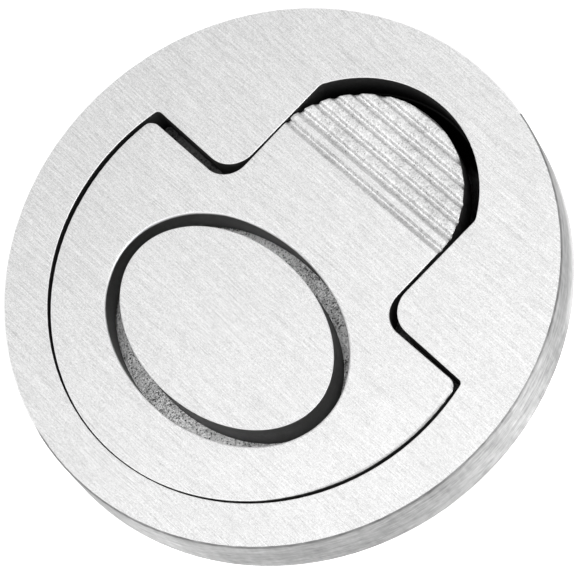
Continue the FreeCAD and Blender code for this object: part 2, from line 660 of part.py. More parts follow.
# ----------------------------------------------------------------- hinge pin
pin = new_body("hinge_pin")
sk = new_sketch(pin, "pin_outline", "XZ_Plane", {"z": "$pin_inner - 0.1"})
circle(sk, ax, az, size("pin_radius"), "pin", "$axis_x", "$axis_z", "$pin_radius")
prism(pin, "Pad", "pin", sk, "$pin_inner - 0.1 + $pin_outer", reverse=True)
dress(pin, "Chamfer", "pin_ends",
      edges_where(pin.Shape, lambda e: e.BoundBox.YLength < 1e-3), "0.25")

# --------------------------------------------------------------- grub screw
lock = new_body("pin_lock_screw")
sk = new_sketch(lock, "screw_outline", "XZ_Plane", {"z": "-$lock_start"})
circle(sk, ax, az, size("lock_radius"), "screw", "$axis_x", "$axis_z", "$lock_radius")
prism(lock, "Pad", "screw", sk, "$lock_length", reverse=True)
dress(lock, "Chamfer", "screw_ends",
      edges_where(lock.Shape, lambda e: e.BoundBox.YLength < 1e-3), "0.3")
sk = new_sketch(lock, "socket_outline", "XZ_Plane", {"z": "-($lock_start + $lock_length)"})
hexagon = [Vector(ax + 0.75 / math.cos(math.pi / 6) * math.cos(math.pi / 3 * i),
                  az + 0.75 / math.cos(math.pi / 6) * math.sin(math.pi / 3 * i), 0)
           for i in range(6)]
ids = [sk.addGeometry(Part.LineSegment(hexagon[i], hexagon[(i + 1) % 6]), False)
       for i in range(6)]
chain(sk, ids)
for i in range(5):
    sk.addConstraint(Sketcher.Constraint("Equal", ids[i], ids[i + 1]))
bind(sk, "side", Sketcher.Constraint("Distance", ids[0], 0.75 / math.cos(math.pi / 6)),
     "0.8660254")
before = lock.Shape.Volume
socket = lock.newObject("PartDesign::Pocket", "socket")
socket.Profile = sk
socket.Type = "Length"
socket.Length = 1.6
doc.recompute()
if not lock.Shape.Volume < before - 1.0:
    socket.Reversed = True
    doc.recompute()
if not lock.Shape.Volume < before - 1.0:
    raise RuntimeError("the screw's socket cuts nothing")

# ------------------------------------------------------------- return spring
# Close-wound torsion spring round the pin: one leg runs down to the scoop's
# back wall, the other out under the thumb tab.
spring = new_body("return_spring")
half_coil = size("spring_pitch") * size("spring_turns") / 2
sk = new_sketch(spring, "wire_start", "XY_Plane",
                {"x": "$axis_x", "z": "$axis_z",
                 "y": "-$spring_pitch * $spring_turns / 2"})
circle(sk, size("spring_mean"), 0, size("spring_wire"), "wire", "$spring_mean", None,
       "$spring_wire")
coil = spring.newObject("PartDesign::AdditiveHelix", "coil")
coil.Profile = sk
coil.ReferenceAxis = (sk, ["V_Axis"])
coil.Mode = "pitch-turns-angle"
coil.setExpression("Pitch", cell("$spring_pitch"))
coil.setExpression("Turns", cell("$spring_turns"))
coil.Angle = 0
coil.Growth = 0
coil.LeftHanded = False
coil.Reversed = False
doc.recompute()
# the leg at the coil's start runs down
leg = spring.newObject("PartDesign::Pad", "leg_down")
leg.Profile = sk
leg.Type = "Length"
leg.Reversed = True
leg.setExpression("Length", cell("$leg_down"))
doc.recompute()
# the leg at the coil's end runs out along +X, tangent to the coil's bottom
sk = new_sketch(spring, "wire_end", "YZ_Plane",
                {"x": "$spring_pitch * $spring_turns / 2", "y": "$axis_z",
                 "z": "$axis_x"})
circle(sk, 0, -size("spring_mean"), size("spring_wire"), "wire", None, "$spring_mean",
       "$spring_wire")
leg = spring.newObject("PartDesign::Pad", "leg_out")
leg.Profile = sk
leg.Type = "Length"
leg.setExpression("Length", cell("$leg_out"))
doc.recompute()

# ------------------------------------------------------------- mounting studs
# Shouldered studs: M4 outside, a thinner stem in the boss.
studs = []
for i, (u, v) in enumerate(((1, 1), (1, -1), (-1, 1), (-1, -1))):
    rod = doc.addObject("Part::Cylinder", "stud_rod_%s" % "abcd"[i])
    rod.setExpression("Radius", cell("$stud_radius"))
    rod.setExpression("Height", cell("$stud_reach - $boss_high"))
    rod.setExpression("Placement.Base.x", cell("%d * $stud_x" % u))
    rod.setExpression("Placement.Base.y", cell("%d * $stud_y" % v))
    rod.setExpression("Placement.Base.z", cell("-$stud_reach"))
    doc.recompute()
    tip = doc.addObject("Part::Chamfer", "stud_tip_%s" % "abcd"[i])
    tip.Base = rod
    tip.Edges = [(k + 1, 0.4, 0.4) for k, e in enumerate(rod.Shape.Edges)
                 if e.BoundBox.ZLength < 1e-6 and e.BoundBox.ZMax < -size("boss_high") - 1]
    stem = doc.addObject("Part::Cylinder", "stud_stem_%s" % "abcd"[i])
    stem.setExpression("Radius", cell("$stem_radius - 0.01"))
    stem.setExpression("Height", cell("$boss_high + $stud_top - 0.2 + 1.0"))
    stem.setExpression("Placement.Base.x", cell("%d * $stud_x" % u))
    stem.setExpression("Placement.Base.y", cell("%d * $stud_y" % v))
    stem.setExpression("Placement.Base.z", cell("-$boss_high - 1.0"))
    stud = doc.addObject("Part::Fuse", "stud_%s" % "abcd"[i])
    stud.Base = tip
    stud.Tool = stem
    studs.append(stud)
group = doc.addObject("Part::Compound", "mounting_studs")
group.Links = studs
group.Label = "mounting_studs"
SUBPARTS.append(("mounting_studs", group))

# ------------------------------------------------------------------ seal ring
seal = doc.addObject("Part::Torus", "seal_ring")
seal.setExpression("Radius1", cell("$seal_radius"))
seal.setExpression("Radius2", cell("$seal_cord"))
seal.setExpression("Placement.Base.z", cell("$seal_deep - $seal_cord - 0.01"))
seal.Label = "seal_ring"
SUBPARTS.append(("seal_ring", seal))

# --------------------------------------------------------------- rest bumpers
pads = []
for i, v in enumerate((1, -1)):
    pad = doc.addObject("Part::Cylinder", "bumper_pad_%s" % "ab"[i])
    pad.setExpression("Radius", cell("$bumper_radius - 0.02"))
    pad.setExpression("Height", cell("$bumper_deep + $bumper_proud - 0.01"))
    pad.setExpression("Placement.Base.x", cell("-$bumper_x"))
    pad.setExpression("Placement.Base.y", cell("%d * $bumper_y" % v))
    pad.setExpression("Placement.Base.z",
                      cell("$flange_thick - $recess_depth - $bumper_deep + 0.01"))
    doc.recompute()
    soft = doc.addObject("Part::Fillet", "bumper_%s" % "ab"[i])
    soft.Base = pad
    soft.Edges = [(k + 1, 0.3, 0.3) for k, e in enumerate(pad.Shape.Edges)
                  if e.BoundBox.ZLength < 1e-6
                  and e.BoundBox.ZMin > pad.Placement.Base.z + 0.5]
    pads.append(soft)
group = doc.addObject("Part::Compound", "rest_bumpers")
group.Links = pads
group.Label = "rest_bumpers"
SUBPARTS.append(("rest_bumpers", group))

# ----------------------------------------------------------- check and write
doc.recompute()
for obj in doc.Objects:
    if "Invalid" in obj.State or "Error" in obj.State:
        raise RuntimeError("%s failed: %s" % (obj.Label, obj.State))
for name, obj in SUBPARTS:
    shape = obj.Shape
    if shape.isNull() or not shape.isValid():
        raise RuntimeError("%s has no valid shape" % name)
    if not shape.Solids:
        raise RuntimeError("%s has no solid" % name)

os.makedirs("parts", exist_ok=True)
for name, obj in SUBPARTS:
    obj.Shape.exportStep("parts/%s.step" % name)
    b = obj.Shape.BoundBox
    print("%-16s solids %d  volume %9.2f  x %.2f..%.2f  y %.2f..%.2f  z %.2f..%.2f" % (
        name, len(obj.Shape.Solids), obj.Shape.Volume,
        b.XMin, b.XMax, b.YMin, b.YMax, b.ZMin, b.ZMax))
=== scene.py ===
import math

import bmesh
import bpy
import numpy as np
from mathutils import Matrix, Vector, noise


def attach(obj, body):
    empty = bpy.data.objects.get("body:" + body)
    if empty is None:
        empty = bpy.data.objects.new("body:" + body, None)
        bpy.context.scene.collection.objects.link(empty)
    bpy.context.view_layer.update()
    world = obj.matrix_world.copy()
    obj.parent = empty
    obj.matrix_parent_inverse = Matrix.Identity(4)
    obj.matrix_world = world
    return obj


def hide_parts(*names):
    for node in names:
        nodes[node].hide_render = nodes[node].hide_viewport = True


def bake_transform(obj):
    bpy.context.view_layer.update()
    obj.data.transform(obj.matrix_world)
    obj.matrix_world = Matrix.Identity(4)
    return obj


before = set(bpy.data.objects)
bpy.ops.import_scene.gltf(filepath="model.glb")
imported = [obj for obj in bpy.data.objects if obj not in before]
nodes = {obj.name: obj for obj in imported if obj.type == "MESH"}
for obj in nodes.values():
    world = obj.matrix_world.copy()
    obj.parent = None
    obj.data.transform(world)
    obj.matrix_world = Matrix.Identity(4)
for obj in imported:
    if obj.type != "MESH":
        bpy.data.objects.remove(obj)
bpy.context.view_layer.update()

# Recessed hatch pull. Everything is in metres, in the CAD frame: +Z out of
# the brushed face, +X towards the ribbed thumb tab, hinge axis along Y.
MM = 0.001
scene = bpy.context.scene

RIB_EDGE, RIB_PITCH = 12.92, 1.785      # thumb grip, mm
TURN = 0.0155                           # how far the handle sits turned, radians


# ------------------------------------------------------------- node helpers
class Graph:
    """Short way to write a shader graph."""

    def __init__(self, tree):
        self.tree = tree
        tree.nodes.clear()

    def add(self, kind, inputs=None, **props):
        n = self.tree.nodes.new(kind)
        for k, v in props.items():
            setattr(n, k, v)
        for k, v in (inputs or {}).items():
            sock = n.inputs[k]
            if isinstance(v, bpy.types.NodeSocket):
                self.tree.links.new(v, sock)
            else:
                sock.default_value = v
        return n

    def math(self, op, a, b=None, c=None, clamp=False):
        values = {0: a}
        if b is not None:
            values[1] = b
        if c is not None:
            values[2] = c
        return self.add("ShaderNodeMath", values, operation=op, use_clamp=clamp).outputs[0]

    def vmul(self, vec, factor):
        n = self.add("ShaderNodeVectorMath", {0: vec, 1: factor}, operation="MULTIPLY")
        return n.outputs[0]

    def vadd(self, a, b):
        return self.add("ShaderNodeVectorMath", {0: a, 1: b}, operation="ADD").outputs[0]

    def noise(self, vec, detail=3.0, rough=0.5, distort=0.0):
        n = self.add("ShaderNodeTexNoise", {"Vector": vec, "Scale": 1.0, "Detail": detail,
                                            "Roughness": rough, "Distortion": distort},
                     noise_dimensions="3D")
        return n.outputs[0]

    def ramp(self, x, a, b, to_a=0.0, to_b=1.0, smooth=False):
        n = self.add("ShaderNodeMapRange",
                     {"Value": x, "From Min": a, "From Max": b, "To Min": to_a, "To Max": to_b},
                     interpolation_type="SMOOTHSTEP" if smooth else "LINEAR", clamp=True)
        return n.outputs[0]

    def mix(self, t, a, b):
        n = self.add("ShaderNodeMix", {0: t, 2: a, 3: b}, data_type="FLOAT")
        return n.outputs[0]

    def grey(self, v, warm=(1.0, 1.0, 1.0)):
        """A near neutral colour from one value."""
        r = v if warm[0] == 1 else self.math("MULTIPLY", v, warm[0])
        g = v if warm[1] == 1 else self.math("MULTIPLY", v, warm[1])
        b = v if warm[2] == 1 else self.math("MULTIPLY", v, warm[2])
        n = self.add("ShaderNodeCombineColor", {0: r, 1: g, 2: b}, mode="RGB")
        return n.outputs[0]


def new_material(name):
    mat = bpy.data.materials.new(name)
    mat.use_nodes = True
    return mat, Graph(mat.node_tree)


def principled(g, inputs, surface_normal=None):
    if surface_normal is not None:
        inputs = dict(inputs, Normal=surface_normal)
    bsdf = g.add("ShaderNodeBsdfPrincipled", inputs)
    g.add("ShaderNodeOutputMaterial", {"Surface": bsdf.outputs[0]})
    return bsdf


# ---------------------------------------------------------------- materials
def brushed_face(name, edge_shade=False):
    """The face of the body and the handle: long fine scratches along Y. With
    edge_shade, a band just inside the ring's front edge, which is rounded by hand, is painted darker as
    the shade of that rounding."""
    mat, g = new_material(name)
    obj = g.add("ShaderNodeTexCoord").outputs["Object"]
    p = g.vmul(obj, (1000.0, 1000.0, 1000.0))
    # slow sideways wander, so that the scratches aren't ruled
    drift = g.noise(g.vmul(p, (0.10, 0.07, 0.1)), 1.0)
    bent = g.vadd(p, g.add("ShaderNodeCombineXYZ",
                           {"X": g.math("MULTIPLY", drift, 0.9)}).outputs[0])
    line = g.noise(g.vmul(bent, (9.5, 0.20, 1.0)), 2.0, 0.6)
    hair = g.noise(g.vadd(g.vmul(bent, (16.0, 0.9, 1.0)), (31.0, 7.0, 2.0)), 2.0, 0.6)
    fleck = g.noise(g.vadd(g.vmul(bent, (10.0, 7.0, 1.0)), (17.0, 2.0, 6.0)), 1.0, 0.5)
    band = g.noise(g.vadd(g.vmul(bent, (1.2, 0.07, 1.0)), (5.0, 3.0, 9.0)), 2.0, 0.5)
    cloud = g.noise(g.vadd(g.vmul(p, (0.16, 0.10, 1.0)), (2.0, 8.0, 4.0)), 2.0, 0.5)
    # a few single scratches, bright and dark
    long1 = g.ramp(g.noise(g.vadd(g.vmul(bent, (5.0, 0.10, 1.0)), (11.0, 4.0, 1.0)), 1.0), 0.66, 0.74)
    long2 = g.ramp(g.noise(g.vadd(g.vmul(bent, (6.0, 0.13, 1.0)), (3.0, 14.0, 6.0)), 1.0), 0.66, 0.74)

    def part(x, amount):
        return g.math("MULTIPLY", g.math("SUBTRACT", x, 0.5), amount)

    tone = g.math("ADD", part(line, 0.38), part(hair, 0.34))
    tone = g.math("ADD", tone, part(fleck, 0.50))
    tone = g.math("ADD", tone, part(band, 0.05))
    tone = g.math("ADD", tone, part(cloud, 0.05))
    tone = g.math("ADD", tone, g.math("MULTIPLY", long1, 0.05))
    tone = g.math("SUBTRACT", tone, g.math("MULTIPLY", long2, 0.08))
    value = g.math("ADD", tone, 0.60, clamp=True)
    # painted shade: a darker band just inside the ring's rounded front edge
    if edge_shade:
        xyz = g.add("ShaderNodeSeparateXYZ", {0: p}).outputs
        offset = g.add("ShaderNodeVectorMath", {0: g.vmul(p, (1.0, 1.0, 0.0)), 1: (-1.97, -0.08, 0.0)},
                       operation="SUBTRACT").outputs[0]
        reach = g.add("ShaderNodeVectorMath", {0: offset}, operation="LENGTH").outputs["Value"]
        edge = g.math("ADD", g.math("MULTIPLY", xyz["X"], 0.0144), 25.19)
        lip = g.ramp(g.math("SUBTRACT", edge, reach), 0.26, 0.38, 1.0, 0.0)
        lip = g.math("MULTIPLY", lip, g.ramp(xyz["X"], -18.0, -13.0))
        lip = g.math("MULTIPLY", lip, g.ramp(xyz["X"], 0.0, 3.5, 1.0, 0.0))
        lip = g.math("MULTIPLY", lip, g.ramp(xyz["Y"], -12.0, -8.0, 1.0, 0.0))
        value = g.math("MULTIPLY", value, g.math("SUBTRACT", 1.0, g.math("MULTIPLY", lip, 0.36)))
    height = g.math("ADD", g.math("MULTIPLY", line, 0.6), g.math("MULTIPLY", hair, 0.4))
    bump = g.add("ShaderNodeBump", {"Strength": 0.35, "Distance": 0.000006, "Height": height})
    rough = g.math("ADD", 0.38, part(line, 0.22))
    rough = g.math("ADD", rough, part(cloud, 0.10))
    # scratches along Y spread the reflection along X
    tangent = g.add("ShaderNodeCombineXYZ", {"X": 1.0}).outputs[0]
    principled(g, {"Base Color": g.grey(value), "Metallic": 1.0, "Roughness": rough,
                   "Anisotropic": 0.55, "Tangent": tangent}, bump.outputs[0])
    return mat


def brushed_rim():
    """The rim's side: brushed round, with broad light and dark patches."""
    mat, g = new_material("brushed_rim")
    obj = g.add("ShaderNodeTexCoord").outputs["Object"]
    p = g.vmul(obj, (1000.0, 1000.0, 1000.0))
    fine = g.noise(g.vmul(p, (0.28, 0.28, 2.7)), 3.0, 0.65)
    hair = g.noise(g.vadd(g.vmul(p, (0.7, 0.7, 5.5)), (7.0, 3.0, 5.0)), 2.0, 0.6)
    patch = g.noise(g.vadd(g.vmul(p, (0.16, 0.16, 0.25)), (9.0, 1.0, 3.0)), 2.0, 0.5)
    cross = g.noise(g.vadd(g.vmul(p, (1.3, 1.3, 0.35)), (1.0, 6.0, 2.0)), 3.0, 0.6)

    def part(x, amount):
        return g.math("MULTIPLY", g.math("SUBTRACT", x, 0.5), amount)

    tone = g.math("ADD", part(fine, 0.50), part(hair, 0.42))
    tone = g.math("ADD", tone, part(patch, 0.24))
    tone = g.math("ADD", tone, part(cross, 0.22))
    height_mm = g.add("ShaderNodeSeparateXYZ", {0: p}).outputs["Z"]
    # slightly lighter towards the foot: painted reflection of the floor
    tone = g.math("ADD", tone, g.ramp(height_mm, 0.0, 6.2, 0.46, 0.43))
    # painted reflection: the foot is lighter on the front right, standing in for the floor's light
    ahead = g.add("ShaderNodeVectorMath", {0: p, 1: (0.0243, -0.0202, 0.0)},
                  operation="DOT_PRODUCT").outputs["Value"]
    foot = g.math("MULTIPLY", g.ramp(ahead, 0.925, 0.985, smooth=True),
                  g.ramp(height_mm, 0.4, 3.4, 1.0, 0.0, smooth=True))
    tone = g.math("ADD", tone, g.math("MULTIPLY", foot, 0.36))
    # painted shade: the rim is darker along its top edge
    value = g.math("MULTIPLY", tone, g.ramp(height_mm, 5.96, 6.20, 1.0, 0.76), clamp=True)
    height = g.math("ADD", g.math("MULTIPLY", fine, 0.6), g.math("MULTIPLY", hair, 0.4))
    bump = g.add("ShaderNodeBump", {"Strength": 0.35, "Distance": 0.000006, "Height": height})
    rough = g.math("ADD", 0.58, part(fine, 0.2))
    # scratches round the rim spread the reflection up and down
    tangent = g.add("ShaderNodeCombineXYZ", {"Z": 1.0}).outputs[0]
    principled(g, {"Base Color": g.grey(value), "Metallic": 1.0, "Roughness": rough,
                   "Anisotropic": 0.92, "Tangent": tangent}, bump.outputs[0])
    return mat


def cast_surface(name, base, rough_base, depth, contrast=1.0, deep_shade=None, lit_oval=None,
                 lit_spot=None, fine=4.6, rib_lights=False):
    """Investment-cast skin, blasted: fine grain, soft mottling, a few pits.
    deep_shade holds two heights in mm and the share of the tone left at the lower
    one: painted shade, darker the deeper the surface lies in the recess.
    lit_oval holds an oval (middle X, half width, half length, share outside): the floor
    keeps its tone inside it as painted light, most at its -Y end, and takes painted shade outside it.
    lit_spot holds a place and reach in mm of a painted pool of light, and how
    many times lighter it is there. rib_lights paints highlights on the groove bottoms and the ribs'
    leading edges, and painted shade under each edge."""
    mat, g = new_material(name)
    obj = g.add("ShaderNodeTexCoord").outputs["Object"]
    p = g.vmul(obj, (1000.0, 1000.0, 1000.0))
    grain = g.noise(g.vmul(p, (fine, fine, fine)), 2.0, 0.6)
    coarse = g.noise(g.vadd(g.vmul(p, (1.3, 1.3, 1.3)), (4.0, 9.0, 2.0)), 3.0, 0.55)
    cloud = g.noise(g.vadd(g.vmul(p, (0.2, 0.2, 0.2)), (7.0, 2.0, 5.0)), 2.0, 0.5)
    cells = g.add("ShaderNodeTexVoronoi", {"Vector": p, "Scale": 2.6, "Randomness": 1.0},
                  feature="F1", voronoi_dimensions="3D").outputs["Distance"]
    pits = g.ramp(cells, 0.10, 0.24, 1.0, 0.0, smooth=True)
    tone = g.math("ADD", g.math("MULTIPLY", g.math("SUBTRACT", grain, 0.5), 0.75),
                  g.math("MULTIPLY", g.math("SUBTRACT", coarse, 0.5), 0.35))
    tone = g.math("ADD", tone, g.math("MULTIPLY", g.math("SUBTRACT", cloud, 0.5), 0.25))
    tone = g.math("SUBTRACT", tone, g.math("MULTIPLY", pits, 0.25))
    tone = g.math("MULTIPLY", tone, contrast)
    value = g.math("MULTIPLY", g.math("ADD", 1.0, tone), base, clamp=True)
    # painted shade: darker towards the bottom of the recess
    if deep_shade:
        z = g.add("ShaderNodeSeparateXYZ", {0: p}).outputs["Z"]
        value = g.math("MULTIPLY", value, g.ramp(z, deep_shade[0], deep_shade[1], deep_shade[2], 1.0))
    # painted light and shade on the recess floor: light inside the oval, shade outside it
    if lit_oval:
        xyz = g.add("ShaderNodeSeparateXYZ", {0: p}).outputs
        u = g.math("DIVIDE", g.math("SUBTRACT", xyz["X"], lit_oval[0]), lit_oval[1])
        v = g.math("DIVIDE", xyz["Y"], lit_oval[2])
        out = g.math("SQRT", g.math("ADD", g.math("MULTIPLY", u, u), g.math("MULTIPLY", v, v)))
        out = g.math("ADD", out, g.math("MULTIPLY", g.math("SUBTRACT", coarse, 0.5), 0.10))
        value = g.math("MULTIPLY", value, g.ramp(out, 1.0, 1.10, 1.0, lit_oval[3], smooth=True))
        # painted light along Y: each side of the island lighter towards one end
        left = g.ramp(xyz["Y"], -3.0, 12.0, 1.0, 0.66)
        right = g.ramp(xyz["Y"], -7.0, 6.0, 0.68, 0.96)
        value = g.math("MULTIPLY", value, g.mix(g.ramp(xyz["X"], -12.0, -4.0), left, right), clamp=True)
    # painted highlights on the groove bottoms and the ribs' edges, painted shade on the slope below each
    # edge
    if rib_lights:
        along = g.add("ShaderNodeVectorMath", {0: p, 1: (1.0, TURN, 0.0)},
                      operation="DOT_PRODUCT").outputs["Value"]
        w = g.math("FRACT", g.math("DIVIDE", g.math("SUBTRACT", along, RIB_EDGE), RIB_PITCH))
        w = g.math("MULTIPLY", w, RIB_PITCH)

        def line_at(place, reach, amount):
            off = g.math("ABSOLUTE", g.math("SUBTRACT", w, place))
            return g.ramp(off, 0.0, reach, amount, 0.0, smooth=True)

        shine = g.math("ADD", line_at(0.60, 0.16, 0.30), line_at(1.02, 0.22, 0.20))
        shine = g.math("SUBTRACT", shine, line_at(0.17, 0.14, 0.06))
        shine = g.math("ADD", shine, line_at(0.80, 0.11, 0.22))
        value = g.math("MULTIPLY", value, g.math("ADD", shine, 0.96), clamp=True)
    # painted light: a lighter spot where light reaches into the scoop's corner
    if lit_spot:
        offset = g.add("ShaderNodeVectorMath", {0: p, 1: lit_spot[0]}, operation="SUBTRACT").outputs[0]
        reach = g.add("ShaderNodeVectorMath", {0: offset}, operation="LENGTH").outputs["Value"]
        reach = g.math("ADD", reach, g.math("MULTIPLY", g.math("SUBTRACT", coarse, 0.5), 1.5))
        spot_gain = g.ramp(reach, lit_spot[1] * 0.6, lit_spot[1], lit_spot[2], 1.0, smooth=True)
        value = g.math("MULTIPLY", value, spot_gain, clamp=True)
    height = g.math("ADD", g.math("MULTIPLY", grain, 0.55), g.math("MULTIPLY", coarse, 0.6))
    height = g.math("SUBTRACT", height, g.math("MULTIPLY", pits, 0.25))
    bump = g.add("ShaderNodeBump", {"Strength": 1.0, "Distance": depth, "Height": height})
    rough = g.math("ADD", rough_base, g.math("MULTIPLY", g.math("SUBTRACT", grain, 0.5), 0.25))
    principled(g, {"Base Color": g.grey(value), "Metallic": 1.0, "Roughness": rough},
               bump.outputs[0])
    return mat


def turned_steel(name, base, across, rough_base=0.28):
    """Plain turned or drawn steel. across holds the noise scale on each axis."""
    mat, g = new_material(name)
    obj = g.add("ShaderNodeTexCoord").outputs["Object"]
    p = g.vmul(obj, (1000.0, 1000.0, 1000.0))
    fine = g.noise(g.vmul(p, across), 3.0, 0.6)
    cloud = g.noise(g.vadd(g.vmul(p, (0.5, 0.5, 0.5)), (3.0, 5.0, 8.0)), 2.0, 0.5)
    tone = g.math("ADD", g.math("MULTIPLY", g.math("SUBTRACT", fine, 0.5), 0.18),
                  g.math("MULTIPLY", g.math("SUBTRACT", cloud, 0.5), 0.12))
    value = g.math("ADD", tone, base, clamp=True)
    bump = g.add("ShaderNodeBump", {"Strength": 0.4, "Distance": 0.000005, "Height": fine})
    rough = g.math("ADD", rough_base, g.math("MULTIPLY", g.math("SUBTRACT", cloud, 0.5), 0.25))
    principled(g, {"Base Color": g.grey(value), "Metallic": 1.0, "Roughness": rough},
               bump.outputs[0])
    return mat


def moulded_rubber():
    mat, g = new_material("moulded_rubber")
    obj = g.add("ShaderNodeTexCoord").outputs["Object"]
    p = g.vmul(obj, (1000.0, 1000.0, 1000.0))
    grain = g.noise(g.vmul(p, (7.0, 7.0, 7.0)), 3.0, 0.6)
    cloud = g.noise(g.vadd(g.vmul(p, (0.4, 0.4, 0.4)), (3.0, 1.0, 8.0)), 2.0, 0.5)
    value = g.math("ADD", 0.022, g.math("MULTIPLY", cloud, 0.018))
    bump = g.add("ShaderNodeBump", {"Strength": 0.5, "Distance": 0.00001, "Height": grain})
    rough = g.math("ADD", 0.55, g.math("MULTIPLY", g.math("SUBTRACT", grain, 0.5), 0.3))
    principled(g, {"Base Color": g.grey(value), "Roughness": rough}, bump.outputs[0])
    return mat


FACE = brushed_face("brushed_face")
# the ring's face, with painted shade along its front edge
RING_FACE = brushed_face("brushed_ring_face", True)
RIM = brushed_rim()
CAST = cast_surface("cast_skin", 0.42, 0.55, 0.00006, 1.2)
# recess floor, with painted light inside an oval and painted shade outside it
FLOOR = cast_surface("recess_floor", 0.95, 0.45, 0.00022, 4.0, None, (-8.5, 12.0, 16.5, 0.12),
                     None, 4.2)
# a darker copy of the cast skin for the walls in the recesses: painted shade, darker still low down,
# with a painted pool of light in the scoop's corner
SHADED_WALL = cast_surface("shaded_cast_wall", 0.24, 0.50, 0.00002, 0.9, (2.0, 4.6, 0.06), None,
                    ((21.6, -6.0, -4.8), 4.2, 60.0))
# the thumb grip's ribs, with painted highlights and shade along the grooves
RIBS = cast_surface("blasted_ribs", 0.635, 0.45, 0.00005, 1.8, None, None, None, 6.5, True)
# bright steel on the thin roundings at the face: painted highlight
EDGE_HIGHLIGHT = turned_steel("edge_highlight", 0.88, (3.0, 3.0, 3.0), 0.52)
STEEL = turned_steel("turned_steel", 0.58, (1.0, 1.0, 9.0))
PIN = turned_steel("ground_pin", 0.60, (9.0, 1.0, 9.0))
WIRE = turned_steel("drawn_wire", 0.52, (6.0, 6.0, 6.0))
RUBBER = moulded_rubber()


# ------------------------------------------------------------- mesh helpers
def mesh_object(name, verts, faces, smooth=True):
    me = bpy.data.meshes.new(name)
    me.from_pydata([tuple(v) for v in verts], [], [tuple(f) for f in faces])
    me.update()
    if smooth:
        me.shade_smooth()
    ob = bpy.data.objects.new(name, me)
    scene.collection.objects.link(ob)
    return ob


def cad_copy(node, name):
    """A welded copy of a CAD node's mesh."""
    src = nodes[node].data
    bm = bmesh.new()
    bm.from_mesh(src)
    bmesh.ops.remove_doubles(bm, verts=bm.verts, dist=1e-7)
    me = bpy.data.meshes.new(name)
    bm.to_mesh(me)
    bm.free()
    ob = bpy.data.objects.new(name, me)
    scene.collection.objects.link(ob)
    return ob


def boolean(base, cutter, operation):
    """base changed by cutter, which is then removed."""
    mod = base.modifiers.new("cut", "BOOLEAN")
    mod.object = cutter
    mod.operation = operation
    mod.solver = "EXACT"
    dg = bpy.context.evaluated_depsgraph_get()
    me = bpy.data.meshes.new_from_object(base.evaluated_get(dg))
    base.modifiers.clear()
    old = base.data
    base.data = me
    bpy.data.meshes.remove(old)
    bpy.data.objects.remove(cutter)
    return base


def harden(ob, angle=55.0):
    """Smooth shading with flat faces kept flat."""
    me = ob.data
    me.shade_smooth()
    me.set_sharp_from_angle(angle=math.radians(angle))
    mod = ob.modifiers.new("weighted", "WEIGHTED_NORMAL")
    mod.mode = "FACE_AREA"
    mod.weight = 100
    mod.keep_sharp = True
    dg = bpy.context.evaluated_depsgraph_get()
    new = bpy.data.meshes.new_from_object(ob.evaluated_get(dg))
    ob.modifiers.clear()
    ob.data = new
    bpy.data.meshes.remove(me)
    return ob


def level_normals(ob):
    """Even shading on the flat underside and on the upright walls."""
    me = ob.data
    n, loops = len(me.polygons), len(me.loops)
    normal = np.zeros(n * 3, np.float32)
    start, total = np.zeros(n, np.int32), np.zeros(n, np.int32)
    vert, corner = np.zeros(loops, np.int32), np.zeros(loops * 3, np.float32)
    me.polygons.foreach_get("normal", normal)
    me.polygons.foreach_get("loop_start", start)
    me.polygons.foreach_get("loop_total", total)
    me.loops.foreach_get("vertex_index", vert)
    me.corner_normals.foreach_get("vector", corner)
    normal, corner = normal.reshape(-1, 3), corner.reshape(-1, 3)
    face = np.zeros(loops, np.int32)
    face[start] = 1
    face = np.cumsum(face) - 1
    order = np.argsort(start)
    facing = normal[order][face, 2]
    level = facing < -0.9995
    touched = np.zeros(len(me.vertices), bool)
    touched[vert[level]] = True
    corner[level | (touched[vert] & (facing < -0.64))] = (0.0, 0.0, -1.0)
    upright = np.abs(facing) < 0.05
    side = corner[upright].copy()
    side[:, 2] = 0.0
    length = np.linalg.norm(side, axis=1)
    side[length > 0.2] /= length[length > 0.2][:, None]
    side[length <= 0.2] = normal[order][face][upright][length <= 0.2]
    corner[upright] = side
    me.normals_split_custom_set(corner.tolist())
    me.update()


def paint(ob, mats, chooser):
    """Give ob these materials. chooser takes face centres and normals in mm
    and returns each face's slot."""
    me = ob.data
    me.materials.clear()
    for m in mats:
        me.materials.append(m)
    n = len(me.polygons)
    centre = np.zeros(n * 3, np.float32)
    normal = np.zeros(n * 3, np.float32)
    me.polygons.foreach_get("center", centre)
    me.polygons.foreach_get("normal", normal)
    index = chooser(centre.reshape(-1, 3) * 1000.0, normal.reshape(-1, 3))
    me.polygons.foreach_set("material_index", index.astype(np.int32))
    me.update()


# ------------------------------------------------------------------- handle
FACE_Z = 6.35
TAB_X, TAB_R, TAB_HALF = 11.43, 12.57, 12.23

GROOVE = [(0.0, 0.102), (0.08, 0.106), (0.14, 0.144), (0.20, 0.202), (0.26, 0.248), (0.36, 0.284),
          (0.46, 0.308), (0.52, 0.316), (0.68, 0.316), (0.74, 0.288), (0.80, 0.225), (0.86, 0.165),
          (0.92, 0.132), (1.00, 0.114), (1.10, 0.102), (1.25, 0.096), (1.45, 0.094), (1.66, 0.097),
          (1.785, 0.102)]
FIRST = [(-0.30, -0.02), (-0.06, 0.0), (0.0, 0.006), (0.08, 0.045), (0.18, 0.115), (0.28, 0.185),
         (0.38, 0.250), (0.48, 0.302), (0.68, 0.310), (0.74, 0.270), (0.80, 0.185), (0.86, 0.108),
         (0.92, 0.064), (1.00, 0.036), (1.10, 0.022), (1.25, 0.016), (1.60, 0.014), (1.70, 0.024),
         (1.785, 0.102)]


